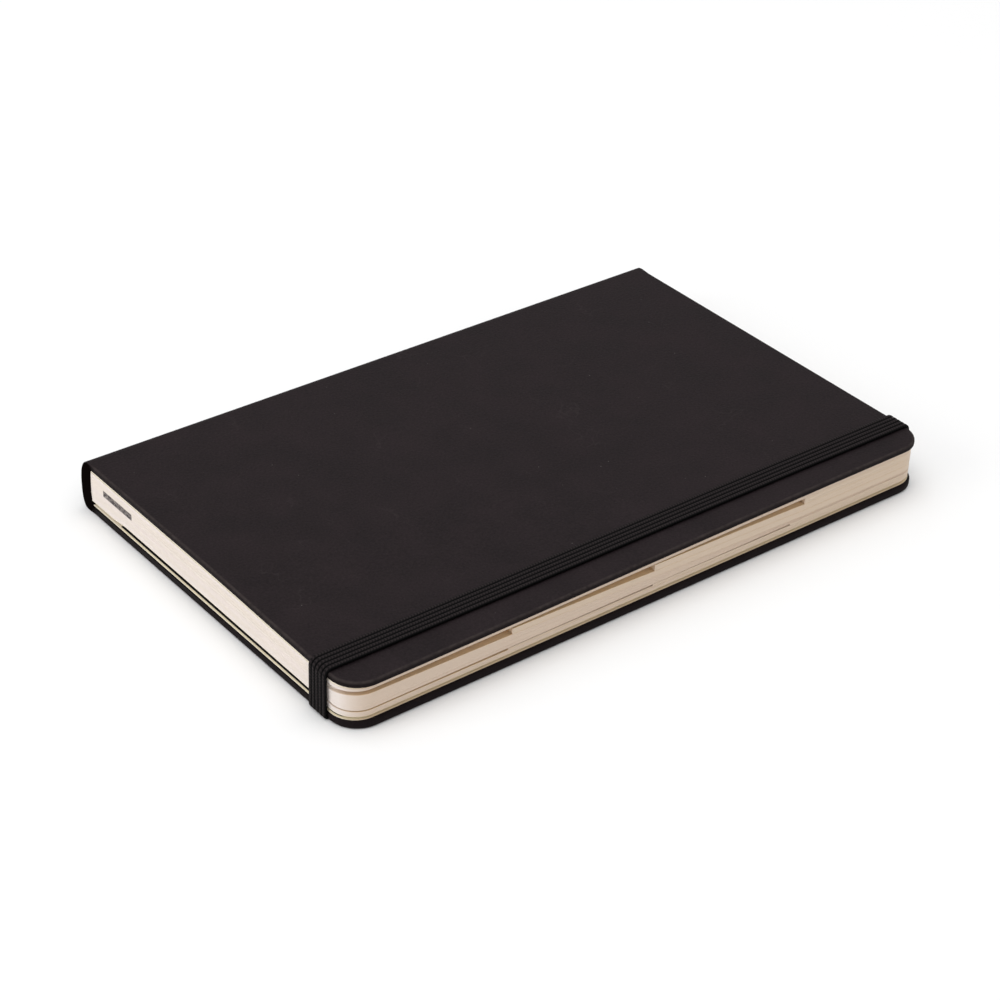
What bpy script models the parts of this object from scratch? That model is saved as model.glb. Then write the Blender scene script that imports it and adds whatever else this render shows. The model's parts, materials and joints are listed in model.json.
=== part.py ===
"""Pocket notebook: black hardcover, index-cut leaves, rear pocket and elastic closure band.

The book lies shut on its rear cover.  +X runs from the spine to the fore-edge, +Y from the
tail to the head and +Z up.  The origin is the bottom centre of the whole book's box.
"""

import math

import bmesh
import bpy

MM = 0.001

# Overall size of the shut book
BOOK_WIDTH = 90.0 * MM
COVER_LENGTH = 140.0 * MM
BOOK_THICKNESS = 10.9 * MM
FRONT_COVER_THICKNESS = 1.4 * MM
REAR_COVER_THICKNESS = 1.65 * MM
CORNER_RADIUS = 7.5 * MM
COVER_SQUARE = 0.7 * MM
LEAF_END_INSET = 0.2 * MM
TOUCH_GAP = 0.1 * MM

# Covering material and boards
COVERING_SKIN = 0.4 * MM
COVERING_WALL = 0.4 * MM
RIM_RADIUS = 0.5 * MM
COVER_SPINE_INSET = 2.6 * MM
HINGE_INSET = 2.2 * MM

# Spine: a bulging skin over a stiff strip, then a hollow and the lining
SPINE_BULGE = 1.8 * MM
SPINE_END_CLEARANCE = 0.45 * MM
SPINE_ROUNDNESS = 2.2
SPINE_SKIN = 0.5 * MM
SPINE_STRIP_THICKNESS = 0.7 * MM
SPINE_STRIP_SETBACK = 1.5 * MM
SPINE_STRIP_END_INSET = 0.5 * MM
SPINE_LINING_INSET = 1.85 * MM
SPINE_LINING_THICKNESS = 0.15 * MM
SPINE_LINING_LENGTH = 124.0 * MM
THREAD_DIAMETER = 0.3 * MM
THREAD_INSET = 2.25 * MM
THREAD_COUNT = 5
THREAD_SPACING = 24.0 * MM

# Text block
LEAF_SPINE_INSET = 2.6 * MM
INDEX_CUT_BACK = 2.0 * MM
UPPER_INDEX_STEPS = (37.9 * MM, -0.8 * MM, -34.5 * MM)
LOWER_INDEX_STEPS = (34.5 * MM, -0.9 * MM, -35.3 * MM)

# Layers between the covers, from the rear cover up: name and thickness
LAYERS = (
    ("rear_pastedown", 0.12 * MM),
    ("pocket_backing", 0.30 * MM),
    ("pocket_gusset", 0.45 * MM),
    ("pocket_panel", 0.20 * MM),
    ("rear_flyleaf", 0.12 * MM),
    ("lower_leaves", 0.70 * MM),
    ("index_leaves_6", 0.22 * MM),
    ("index_leaves_5", 0.22 * MM),
    ("index_leaves_4", 0.22 * MM),
    ("middle_leaves", 1.10 * MM),
    ("index_leaves_3", 0.55 * MM),
    ("index_leaves_2", 0.55 * MM),
    ("index_leaves_1", 0.55 * MM),
    ("upper_leaves", 0.61 * MM),
    ("front_flyleaf", 0.12 * MM),
    ("front_pastedown", 0.12 * MM),
)

# Rear pocket
POCKET_MOUTH_INSET = 14.3 * MM
POCKET_FOLD_INSET = 1.2 * MM
POCKET_END_INSET = 0.3 * MM
GUSSET_WIDTH = 7.0 * MM

# Elastic closure band: a flat strip over the front cover, down both ends, into the rear cover
BAND_WIDTH = 5.1 * MM
BAND_THICKNESS = 0.7 * MM
BAND_TAIL_INSET = 9.2 * MM
BAND_HEAD_INSET = 7.5 * MM
BAND_SLOT_DISTANCE = 8.0 * MM
BAND_CHANNEL_DEPTH = 0.8 * MM
BAND_CHANNEL_CLEARANCE = 0.1 * MM
BAND_BASE = 0.05 * MM

# Smoothness of the curves
CORNER_SEGMENTS = 12
RIM_SEGMENTS = 4
SPINE_SEGMENTS = 20
THREAD_SIDES = 8
SMOOTH_ANGLE = math.radians(35.0)

# Derived places
SPINE_X = -BOOK_WIDTH / 2
FORE_EDGE_X = BOOK_WIDTH / 2
COVER_END_Y = COVER_LENGTH / 2
LEAF_END_Y = COVER_END_Y - LEAF_END_INSET
LEAF_FORE_X = FORE_EDGE_X - COVER_SQUARE
FRONT_INNER_Z = BOOK_THICKNESS - FRONT_COVER_THICKNESS
HINGE_X = SPINE_X + HINGE_INSET

COLOURS = {
    "leatherette": ((0.024, 0.021, 0.021), 0.55),
    "greyboard": ((0.36, 0.33, 0.29), 0.9),
    "endpaper": ((0.72, 0.64, 0.50), 0.85),
    "page_paper": ((0.76, 0.69, 0.56), 0.85),
    "index_paper": ((0.74, 0.66, 0.53), 0.85),
    "pocket_card": ((0.68, 0.61, 0.46), 0.8),
    "black_cloth": ((0.015, 0.014, 0.014), 0.9),
    "lining_cloth": ((0.55, 0.53, 0.48), 0.95),
    "sewing_thread": ((0.80, 0.78, 0.72), 0.8),
    "elastic": ((0.018, 0.017, 0.018), 0.75),
}


def clear_scene():
    """Remove every object of the scene that the script starts in."""
    for existing in list(bpy.data.objects):
        bpy.data.objects.remove(existing, do_unlink=True)


def make_materials():
    """One plain material for each stuff that the notebook is made of."""
    materials = {}
    for name, (colour, roughness) in COLOURS.items():
        material = bpy.data.materials.new(name)
        material.use_nodes = True
        shader = material.node_tree.nodes["Principled BSDF"]
        shader.inputs["Base Color"].default_value = (*colour, 1.0)
        shader.inputs["Roughness"].default_value = roughness
        shader.inputs["Metallic"].default_value = 0.0
        materials[name] = material
    return materials


class Pivot:
    """An empty on a joint's axis that carries the pieces of one moving body."""

    def __init__(self, name, position, parent=None):
        self.position = position
        self.empty = bpy.data.objects.new(name, None)
        bpy.context.collection.objects.link(self.empty)
        parent_position = (0.0, 0.0, 0.0)
        if parent is not None:
            self.empty.parent = parent.empty
            parent_position = parent.position
        self.empty.location = [own - base for own, base in zip(position, parent_position)]


def add_object(name, mesh, material, pivot):
    """Link a mesh whose points are already relative to its pivot."""
    mesh.materials.append(material)
    piece = bpy.data.objects.new(name, mesh)
    bpy.context.collection.objects.link(piece)
    piece.parent = pivot.empty
    return piece


def solid_from_loops(name, loops, material, pivot):
    """Bridge rings of equally many points into one closed solid with a face on each end."""
    offset = pivot.position
    shape = bmesh.new()
    rings = []
    for loop in loops:
        ring = [shape.verts.new([value - base for value, base in zip(point, offset)]) for point in loop]
        rings.append(ring)
    count = len(rings[0])
    for lower, upper in zip(rings, rings[1:]):
        for index in range(count):
            following = (index + 1) % count
            shape.faces.new((lower[index], lower[following], upper[following], upper[index]))
    shape.faces.new(rings[0])
    shape.faces.new(rings[-1])
    bmesh.ops.recalc_face_normals(shape, faces=shape.faces)
    mesh = bpy.data.meshes.new(name)
    shape.to_mesh(mesh)
    shape.free()
    mesh.shade_smooth()
    mesh.set_sharp_from_angle(angle=SMOOTH_ANGLE)
    return add_object(name, mesh, material, pivot)


def arc_points(centre, radius, start, end):
    """Points on an arc in the plane, with both its ends."""
    points = []
    for index in range(CORNER_SEGMENTS + 1):
        angle = math.radians(start + (end - start) * index / CORNER_SEGMENTS)
        points.append((centre[0] + radius * math.cos(angle), centre[1] + radius * math.sin(angle)))
    return points


def leaf_outline(spine_x, fore_x, end_y, radius, step_y=None):
    """A book-shaped outline: square at the spine and rounded at the two fore-edge corners.

    With a step, the fore-edge between the tail and the step is cut back, which leaves an
    index tab that stands out from the step to the head.
    """
    tail_fore_x = fore_x if step_y is None else fore_x - INDEX_CUT_BACK
    outline = [(spine_x, -end_y)]
    outline += arc_points((tail_fore_x - radius, -end_y + radius), radius, -90.0, 0.0)
    if step_y is not None:
        outline += [(tail_fore_x, step_y), (fore_x, step_y)]
    outline += arc_points((fore_x - radius, end_y - radius), radius, 0.0, 90.0)
    outline.append((spine_x, end_y))
    return outline


def sheet_solid(name, outline, bottom, top, material, pivot):
    """A flat solid with the given outline."""
    loops = [[(x, y, z) for x, y in outline] for z in (bottom, top)]
    return solid_from_loops(name, loops, material, pivot)


def cover_outline(inset):
    """The outline of a cover, drawn in by an inset on every side."""
    return leaf_outline(
        SPINE_X + COVER_SPINE_INSET + inset,
        FORE_EDGE_X - inset,
        COVER_END_Y - inset,
        CORNER_RADIUS - inset,
    )


def covering_tray(name, inner_z, outer_z, material, pivot):
    """Covering material drawn over a board: an outer skin with walls round all four edges."""
    outward = math.copysign(1.0, outer_z - inner_z)
    profile = [
        (COVERING_WALL, outer_z - outward * COVERING_SKIN),
        (COVERING_WALL, inner_z),
        (0.0, inner_z),
    ]
    for index in range(RIM_SEGMENTS + 1):
        angle = math.pi / 2 * index / RIM_SEGMENTS
        inset = RIM_RADIUS * (1.0 - math.cos(angle))
        height = outer_z - outward * RIM_RADIUS * (1.0 - math.sin(angle))
        profile.append((inset, height))
    loops = [[(x, y, z) for x, y in cover_outline(inset)] for inset, z in profile]
    return solid_from_loops(name, loops, material, pivot)


def cover_board(name, inner_z, outer_z, material, pivot):
    """The stiff board inside a covering, flush with the covering's inner rim."""
    outward = math.copysign(1.0, outer_z - inner_z)
    hidden_z = outer_z - outward * (COVERING_SKIN + TOUCH_GAP)
    outline = cover_outline(COVERING_WALL + TOUCH_GAP)
    return sheet_solid(name, outline, min(inner_z, hidden_z), max(inner_z, hidden_z), material, pivot)


def spine_curve(inward, bottom, top):
    """The spine's bulging line in the XZ plane, moved inward, between two heights."""
    middle = BOOK_THICKNESS / 2
    half_height = middle - SPINE_END_CLEARANCE
    points = []
    for index in range(SPINE_SEGMENTS + 1):
        z = bottom + (top - bottom) * index / SPINE_SEGMENTS
        level = min(abs(z - middle) / half_height, 1.0)
        bulge = SPINE_BULGE * (1.0 - level ** SPINE_ROUNDNESS) ** (1.0 / SPINE_ROUNDNESS)
        points.append((SPINE_X + SPINE_BULGE - bulge + inward, z))
    return points


def spine_solid(name, inward, thickness, setback, end_y, material, pivot):
    """A curved plate along the spine, between two copies of the spine's line."""
    bottom = SPINE_END_CLEARANCE + setback
    top = BOOK_THICKNESS - SPINE_END_CLEARANCE - setback
    outer = spine_curve(inward, bottom, top)
    inner = spine_curve(inward + thickness, bottom, top)
    section = outer + inner[::-1]
    loops = [[(x, y, z) for x, z in section] for y in (-end_y, end_y)]
    return solid_from_loops(name, loops, material, pivot)


def box_loops(x_range, y_range, z_range):
    """The two rings of a plain block."""
    (x0, x1), (y0, y1), (z0, z1) = x_range, y_range, z_range
    return [[(x0, y0, z), (x1, y0, z), (x1, y1, z), (x0, y1, z)] for z in (z0, z1)]


def stack_layers():
    """Bottom and top height of each layer between the covers."""
    heights = {}
    bottom = REAR_COVER_THICKNESS + TOUCH_GAP
    for name, thickness in LAYERS:
        heights[name] = (bottom, bottom + thickness)
        bottom += thickness + TOUCH_GAP
    return heights


def text_leaves(name, heights, material, pivot, step_y=None):
    """One group of leaves of the text block."""
    outline = leaf_outline(
        SPINE_X + LEAF_SPINE_INSET,
        LEAF_FORE_X,
        LEAF_END_Y,
        CORNER_RADIUS - COVER_SQUARE,
        step_y,
    )
    bottom, top = heights[name]
    return sheet_solid(name, outline, bottom, top, material, pivot)


def sewing_threads(heights, material, pivot):
    """The thread runs that join the folds of the leaf groups behind the lining."""
    bottom = heights["lower_leaves"][0]
    top = heights["upper_leaves"][1]
    radius = THREAD_DIAMETER / 2
    for index in range(THREAD_COUNT):
        y = (index - (THREAD_COUNT - 1) / 2) * THREAD_SPACING
        loops = []
        for z in (bottom, top):
            loop = []
            for side in range(THREAD_SIDES):
                angle = 2.0 * math.pi * side / THREAD_SIDES
                x = SPINE_X + THREAD_INSET + radius * math.cos(angle)
                loop.append((x, y + radius * math.sin(angle), z))
            loops.append(loop)
        solid_from_loops(f"sewing_thread_{index + 1}", loops, material, pivot)


def pocket_outline():
    """The pocket's outline: open towards the spine, rounded with the fore-edge corners."""
    inset = POCKET_FOLD_INSET
    return leaf_outline(
        SPINE_X + POCKET_MOUTH_INSET,
        FORE_EDGE_X - inset,
        COVER_END_Y - POCKET_END_INSET,
        CORNER_RADIUS - inset,
    )


def gusset_outline(end):
    """A strip along one end of the pocket, with the pocket's rounded outer corner."""
    radius = CORNER_RADIUS - POCKET_FOLD_INSET
    outer_y = COVER_END_Y - POCKET_END_INSET
    fore_x = FORE_EDGE_X - POCKET_FOLD_INSET
    mouth_x = SPINE_X + POCKET_MOUTH_INSET
    outline = [(mouth_x, -outer_y)]
    outline += arc_points((fore_x - radius, -outer_y + radius), radius, -90.0, 0.0)
    outline += [(fore_x, -outer_y + GUSSET_WIDTH), (mouth_x, -outer_y + GUSSET_WIDTH)]
    return [(x, y * end) for x, y in outline]


def band_centre_x(end):
    """Middle of the band at the tail (end = -1) or at the head (end = 1)."""
    inset = BAND_TAIL_INSET if end < 0 else BAND_HEAD_INSET
    return FORE_EDGE_X - inset


def band_front_run(material, pivot):
    """The flat run of the band across the front cover, slightly out of square."""
    end_y = COVER_END_Y + TOUCH_GAP
    half = BAND_WIDTH / 2
    corners = []
    for end in (-1.0, 1.0):
        x = band_centre_x(end)
        corners += [(x + end * half, end * end_y), (x - end * half, end * end_y)]
    bottom = BOOK_THICKNESS + TOUCH_GAP
    sheet_solid("band_front", corners, bottom, bottom + BAND_THICKNESS, material, pivot)


def band_leg(name, end, material, pivot):
    """The stretch of the band that runs down one end of the shut book."""
    x = band_centre_x(end)
    inner_y = end * (COVER_END_Y + 2 * TOUCH_GAP)
    outer_y = inner_y + end * BAND_THICKNESS
    bottom = BAND_BASE + BAND_THICKNESS + TOUCH_GAP
    top = BOOK_THICKNESS + TOUCH_GAP + BAND_THICKNESS
    loops = box_loops((x - BAND_WIDTH / 2, x + BAND_WIDTH / 2), (inner_y, outer_y), (bottom, top))
    solid_from_loops(name, loops, material, pivot)


def band_anchor(name, end, material, pivot):
    """The band's end: it turns under the rear cover and up through a slot, where it is glued."""
    outer_y = COVER_END_Y + 2 * TOUCH_GAP + BAND_THICKNESS
    slot_y = COVER_END_Y - BAND_SLOT_DISTANCE
    low = BAND_BASE
    top = low + BAND_THICKNESS
    tip = REAR_COVER_THICKNESS - TOUCH_GAP
    section = [
        (outer_y, low),
        (outer_y, top),
        (slot_y + BAND_THICKNESS, top),
        (slot_y + BAND_THICKNESS, tip),
        (slot_y, tip),
        (slot_y, low),
    ]
    x = band_centre_x(end)
    sides = (x - BAND_WIDTH / 2, x + BAND_WIDTH / 2)
    loops = [[(side, end * y, z) for y, z in section] for side in sides]
    solid_from_loops(name, loops, material, pivot)


def cut_band_channel(cover_pieces, end, pivot):
    """Cut the band's shallow channel and its slot out of the rear covering and board."""
    clearance = BAND_CHANNEL_CLEARANCE
    outer_y = COVER_END_Y + 1.0 * MM
    slot_y = COVER_END_Y - BAND_SLOT_DISTANCE
    below = -1.0 * MM
    above = REAR_COVER_THICKNESS + 1.0 * MM
    section = [
        (outer_y, below),
        (outer_y, BAND_CHANNEL_DEPTH),
        (slot_y + BAND_THICKNESS + clearance, BAND_CHANNEL_DEPTH),
        (slot_y + BAND_THICKNESS + clearance, above),
        (slot_y - clearance, above),
        (slot_y - clearance, below),
    ]
    x = band_centre_x(end)
    half = BAND_WIDTH / 2 + clearance
    loops = [[(side, end * y, z) for y, z in section] for side in (x - half, x + half)]
    end_name = "tail" if end < 0 else "head"
    cutter = solid_from_loops(f"channel_cutter_{end_name}", loops, cover_pieces[0].active_material, pivot)
    cutter.hide_render = True
    cutter.display_type = "WIRE"
    for piece in cover_pieces:
        cut = piece.modifiers.new(f"channel_{end_name}", "BOOLEAN")
        cut.operation = "DIFFERENCE"
        cut.solver = "EXACT"
        cut.object = cutter


def build_rear_cover(materials, heights, pivot):
    """Rear cover: covering, board, pastedown and the back of the pocket."""
    covering = covering_tray("rear_covering", REAR_COVER_THICKNESS, 0.0, materials["leatherette"], pivot)
    board = cover_board("rear_board", REAR_COVER_THICKNESS, 0.0, materials["greyboard"], pivot)
    pastedown = leaf_outline(
        SPINE_X + LEAF_SPINE_INSET,
        LEAF_FORE_X,
        LEAF_END_Y,
        CORNER_RADIUS - COVER_SQUARE,
    )
    sheet_solid("rear_pastedown", pastedown, *heights["rear_pastedown"], materials["endpaper"], pivot)
    card = materials["pocket_card"]
    sheet_solid("pocket_backing", pocket_outline(), *heights["pocket_backing"], card, pivot)
    for end, end_name in ((-1.0, "tail"), (1.0, "head")):
        cut_band_channel((covering, board), end, pivot)
        band_anchor(f"band_anchor_{end_name}", end, materials["elastic"], pivot)


def build_pocket_flap(materials, heights, pivot):
    """The pocket's front panel and the folded cloth gussets at its two ends."""
    sheet_solid("pocket_panel", pocket_outline(), *heights["pocket_panel"], materials["pocket_card"], pivot)
    for end, end_name in ((-1.0, "tail"), (1.0, "head")):
        name = f"pocket_gusset_{end_name}"
        sheet_solid(name, gusset_outline(-end), *heights["pocket_gusset"], materials["black_cloth"], pivot)


def build_book_block(materials, heights, pivot):
    """The spine and the leaves that stay with it when the book is opened in the middle."""
    spine_solid("spine_covering", 0.0, SPINE_SKIN, 0.0, COVER_END_Y, materials["leatherette"], pivot)
    inward = SPINE_SKIN + TOUCH_GAP
    setback = SPINE_STRIP_SETBACK
    end_y = COVER_END_Y - SPINE_STRIP_END_INSET
    spine_solid("spine_strip", inward, SPINE_STRIP_THICKNESS, setback, end_y, materials["greyboard"], pivot)
    lining_x = SPINE_X + SPINE_LINING_INSET
    half_length = SPINE_LINING_LENGTH / 2
    lining = box_loops(
        (lining_x, lining_x + SPINE_LINING_THICKNESS),
        (-half_length, half_length),
        (heights["rear_flyleaf"][0], heights["front_flyleaf"][1]),
    )
    solid_from_loops("spine_lining", lining, materials["lining_cloth"], pivot)
    sewing_threads(heights, materials["sewing_thread"], pivot)
    text_leaves("rear_flyleaf", heights, materials["endpaper"], pivot)
    text_leaves("lower_leaves", heights, materials["page_paper"], pivot)
    for number, step_y in zip((4, 5, 6), LOWER_INDEX_STEPS):
        text_leaves(f"index_leaves_{number}", heights, materials["index_paper"], pivot, step_y)
    text_leaves("middle_leaves", heights, materials["page_paper"], pivot)


def build_turning_leaves(materials, heights, hinge, block):
    """The leaves that turn over with the front cover, each group on its own pivot."""
    groups = [("front_flyleaf", "endpaper", None), ("upper_leaves", "page_paper", None)]
    for number, step_y in zip((1, 2, 3), UPPER_INDEX_STEPS):
        groups.append((f"index_leaves_{number}", "index_paper", step_y))
    for name, stuff, step_y in groups:
        pivot = Pivot(f"{name}_pivot", hinge, block)
        text_leaves(name, heights, materials[stuff], pivot, step_y)


def build_front_cover(materials, heights, pivot):
    """Front cover: covering, board and pastedown."""
    outer_z = BOOK_THICKNESS
    covering_tray("front_covering", FRONT_INNER_Z, outer_z, materials["leatherette"], pivot)
    cover_board("front_board", FRONT_INNER_Z, outer_z, materials["greyboard"], pivot)
    pastedown = leaf_outline(
        SPINE_X + LEAF_SPINE_INSET,
        LEAF_FORE_X,
        LEAF_END_Y,
        CORNER_RADIUS - COVER_SQUARE,
    )
    sheet_solid("front_pastedown", pastedown, *heights["front_pastedown"], materials["endpaper"], pivot)


def build_elastic_band(materials, pivot):
    """The part of the closure band that is pulled off over the fore-edge."""
    band_front_run(materials["elastic"], pivot)
    band_leg("band_leg_tail", -1.0, materials["elastic"], pivot)
    band_leg("band_leg_head", 1.0, materials["elastic"], pivot)


def main():
    """Build the shut notebook."""
    clear_scene()
    materials = make_materials()
    heights = stack_layers()
    rear_hinge = (HINGE_X, 0.0, 0.0)
    front_hinge = (HINGE_X, 0.0, BOOK_THICKNESS)
    pocket_fold = (FORE_EDGE_X - POCKET_FOLD_INSET, 0.0, heights["pocket_panel"][0])
    root = Pivot("book_origin", (0.0, 0.0, 0.0))
    block = Pivot("rear_cover_hinge_axis", rear_hinge, root)
    front = Pivot("front_cover_hinge_axis", front_hinge, block)
    pocket = Pivot("pocket_fold_axis", pocket_fold, root)
    band = Pivot("band_start", (FORE_EDGE_X, 0.0, BOOK_THICKNESS), root)
    build_rear_cover(materials, heights, root)
    build_pocket_flap(materials, heights, pocket)
    build_book_block(materials, heights, block)
    build_turning_leaves(materials, heights, front_hinge, block)
    build_front_cover(materials, heights, front)
    build_elastic_band(materials, band)
    bpy.context.view_layer.update()


main()
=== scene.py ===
"""Looks of the pocket notebook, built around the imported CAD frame.

Everything is in metres in the frame's own axes: +X from the spine to the fore-edge, +Y from
the tail to the head, +Z up, with the shut book lying on its rear cover.
"""

import json
import math

import bpy
import numpy as np
from mathutils import Matrix, Vector


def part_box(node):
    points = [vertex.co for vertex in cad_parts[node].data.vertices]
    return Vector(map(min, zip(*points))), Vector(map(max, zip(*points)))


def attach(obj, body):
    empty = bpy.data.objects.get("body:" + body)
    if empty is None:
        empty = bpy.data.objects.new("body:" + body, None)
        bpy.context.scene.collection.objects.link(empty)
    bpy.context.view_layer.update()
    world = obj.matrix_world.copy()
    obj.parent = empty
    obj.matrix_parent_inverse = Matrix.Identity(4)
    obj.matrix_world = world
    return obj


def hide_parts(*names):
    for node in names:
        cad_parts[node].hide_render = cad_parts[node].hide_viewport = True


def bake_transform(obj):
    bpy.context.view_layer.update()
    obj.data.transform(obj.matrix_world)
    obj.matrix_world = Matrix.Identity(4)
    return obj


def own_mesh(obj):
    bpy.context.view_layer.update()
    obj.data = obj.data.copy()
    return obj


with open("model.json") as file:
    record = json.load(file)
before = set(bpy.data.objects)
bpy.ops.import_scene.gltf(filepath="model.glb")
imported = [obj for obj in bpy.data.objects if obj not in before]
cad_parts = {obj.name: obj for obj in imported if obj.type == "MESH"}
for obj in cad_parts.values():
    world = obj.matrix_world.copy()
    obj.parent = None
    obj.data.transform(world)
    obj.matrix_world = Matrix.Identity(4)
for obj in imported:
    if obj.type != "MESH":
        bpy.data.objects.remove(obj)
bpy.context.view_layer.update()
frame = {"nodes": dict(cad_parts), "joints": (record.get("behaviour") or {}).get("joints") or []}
MM = 0.001


def joint_place(name):
    """The place of a joint in the frame."""
    return Vector(next(joint["pos_m"] for joint in frame["joints"] if joint["name"] == name))


# Places read from the frame
FRONT_LOW, FRONT_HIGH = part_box("front_covering")
REAR_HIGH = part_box("rear_covering")[1]
SPINE_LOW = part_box("spine_covering")[0]
LEAF_LOW, LEAF_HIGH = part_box("middle_leaves")
POCKET_LOW, POCKET_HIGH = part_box("pocket_panel")
LEG_TAIL_LOW, LEG_TAIL_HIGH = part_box("band_leg_tail")
LEG_HEAD_LOW, LEG_HEAD_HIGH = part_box("band_leg_head")
ANCHOR_LOW, ANCHOR_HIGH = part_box("band_anchor_head")
FRONT_HINGE = joint_place("front_cover_hinge")
TOP_Z = FRONT_HIGH.z
COVER_INNER_Z = FRONT_LOW.z + 0.2 * MM
REAR_INNER_Z = REAR_HIGH.z
MIDDLE_Z = TOP_Z / 2
HALF_LENGTH = FRONT_HIGH.y
FORE_X = FRONT_HIGH.x

# Shape of the covers
CORNER_RADIUS = 5.8 * MM
RIM_RADIUS = 0.55 * MM
SKIN = 0.25 * MM
SKIN_FIT = 0.03 * MM
TURN_IN = 6.0 * MM
SPINE_DEPTH = 3.4 * MM
HINGE_LENGTH = 2.0 * MM
FRONT_SHOULDER = 3.0 * MM
FRONT_INNER_START = 3.9 * MM
REAR_INNER_START = 4.6 * MM
FRONT_ROUNDNESS = 2.3
REAR_SHOULDER = 2.4 * MM
REAR_ROUNDNESS = 2.8
COVER_DROP = 0.75 * MM
BOARD_START = 2.1 * MM
COVER_ROWS = 2.5 * MM
RIM_FOLD = 0.12 * MM

# Index cuts in the fore-edge, from the top of the book down
INDEX_CUT_BACK = 2.0 * MM
UPPER_STEPS = (37.65 * MM, -0.5 * MM, -34.0 * MM)
LOWER_STEPS = (34.2 * MM, -0.7 * MM, -34.8 * MM)
UPPER_WALLS = (1.3 * MM, 1.4 * MM, 1.3 * MM)
LOWER_WALLS = (0.36 * MM, 0.34 * MM, 0.32 * MM)

# The leaves
LEAF_GAP = 0.02 * MM
LEAF_PITCH = 0.11 * MM
LEAF_CORNER = 5.3 * MM
BEND_REACH = 9.0 * MM
BEND_PITCH = 0.5 * MM
LEAF_ROWS = 3.2 * MM
LEAF_INSET = 0.05 * MM
LEAF_LEAST = 0.015 * MM
STEP_WALL = 0.005 * MM
MOUTH_SAG = 0.52 * MM

# The pocket
GUSSET_DEPTH = 6.8 * MM
CLOTH = 0.14 * MM
POCKET_CORNER = 5.1 * MM

# The closure band
BAND_RIBS = 5
RIB_POINTS = 6
BAND_HALF = 0.33 * MM
BAND_GROOVE = 0.12 * MM
BAND_BEND = 1.3 * MM
BAND_REST = 0.05 * MM
BAND_TURN = 0.5 * MM
BAND_SKEW = 0.55
CHANNEL_CLEARANCE = 0.1 * MM
CUTTER_MARGIN = 1.0 * MM

# The layers between the covers, from the bottom up
LAYERS = (
    "rear_pastedown",
    "pocket_backing",
    "pocket_panel",
    "rear_flyleaf",
    "lower_leaves",
    "index_leaves_6",
    "index_leaves_5",
    "index_leaves_4",
    "middle_leaves",
    "index_leaves_3",
    "index_leaves_2",
    "index_leaves_1",
    "upper_leaves",
    "front_flyleaf",
    "front_pastedown",
)
# How far a layer lies below its place in the CAD
SINK = {
    "pocket_backing": 0.08 * MM,
    "rear_flyleaf": 0.06 * MM,
    "lower_leaves": 0.14 * MM,
}
FLAT_BOTTOMS = {name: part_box(name)[0].z - SINK.get(name, 0.0) for name in LAYERS}
SHEETS = {
    "rear_pastedown": 0.11 * MM,
    "pocket_backing": 0.42 * MM,
    "pocket_panel": 0.20 * MM,
    "rear_flyleaf": 0.12 * MM,
    "front_flyleaf": 0.12 * MM,
}


def ease(value, low, high):
    """0 below low, 1 above high and a smooth turn between them."""
    t = np.clip((np.asarray(value, float) - low) / (high - low), 0.0, 1.0)
    return t * t * (3.0 - 2.0 * t)


def cover_drop(x, y):
    """How far the front cover is drawn down towards its tail corner by the closure band."""
    return COVER_DROP * ease(x, -8.0 * MM, 44.0 * MM) * (1.0 - ease(y, -66.0 * MM, 46.0 * MM))


# ---- meshes


def make_object(name, points, faces, marks=None):
    """A mesh object, with a named number on each of its points where marks are given."""
    mesh = bpy.data.meshes.new(name)
    mesh.from_pydata([tuple(point) for point in points], [], faces)
    mesh.validate()
    for label, values in (marks or {}).items():
        attribute = mesh.attributes.new(label, "FLOAT", "POINT")
        attribute.data.foreach_set("value", np.asarray(values, np.float32))
    piece = bpy.data.objects.new(name, mesh)
    bpy.context.scene.collection.objects.link(piece)
    return piece


def finish_mesh(piece, material, angle=38.0):
    """Paints the piece, applies its modifiers, keeps its rest places and shades it smooth."""
    piece.data.materials.append(material)
    bpy.context.view_layer.update()
    depsgraph = bpy.context.evaluated_depsgraph_get()
    mesh = bpy.data.meshes.new_from_object(piece.evaluated_get(depsgraph))
    piece.modifiers.clear()
    piece.data = mesh
    places = np.zeros(len(mesh.vertices) * 3, np.float32)
    mesh.vertices.foreach_get("co", places)
    rest = mesh.attributes.new("rest", "FLOAT_VECTOR", "POINT")
    rest.data.foreach_set("vector", places)
    mesh.shade_smooth()
    mesh.set_sharp_from_angle(angle=math.radians(angle))
    return piece


def grid_faces(rows, columns, start=0, flip=False):
    """Quads over a grid of points stored row by row."""
    faces = []
    for row in range(rows - 1):
        for column in range(columns - 1):
            a = start + row * columns + column
            quad = (a, a + 1, a + columns + 1, a + columns)
            faces.append(quad[::-1] if flip else quad)
    return faces


def strip_faces(lower, upper, closed=False, flip=False):
    """Quads between two runs of equally many point numbers."""
    faces = []
    count = len(lower)
    for index in range(count if closed else count - 1):
        following = (index + 1) % count
        quad = (lower[index], lower[following], upper[following], upper[index])
        faces.append(quad[::-1] if flip else quad)
    return faces


def corner_rows(half_length, fore_x, radius, spacing, extra=()):
    """Rows across a leaf or cover from tail to head: (y, x of the fore-edge, turn of the edge)."""
    steps = 9
    tail = []
    for index in range(steps + 1):
        turn = math.pi / 2 * index / steps
        y = -half_length + radius * (1.0 - math.cos(turn))
        tail.append((y, fore_x - radius * (1.0 - math.sin(turn)), turn))
    inner = half_length - radius
    count = max(2, int(round(2 * inner / spacing)))
    middle = {round(-inner + 2 * inner * index / count, 7) for index in range(1, count)}
    middle |= {round(y, 7) for y in extra}
    rows = tail + [(y, fore_x, math.pi / 2) for y in sorted(middle)]
    rows += [(-y, x, math.pi - turn) for y, x, turn in reversed(tail)]
    return rows


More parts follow.
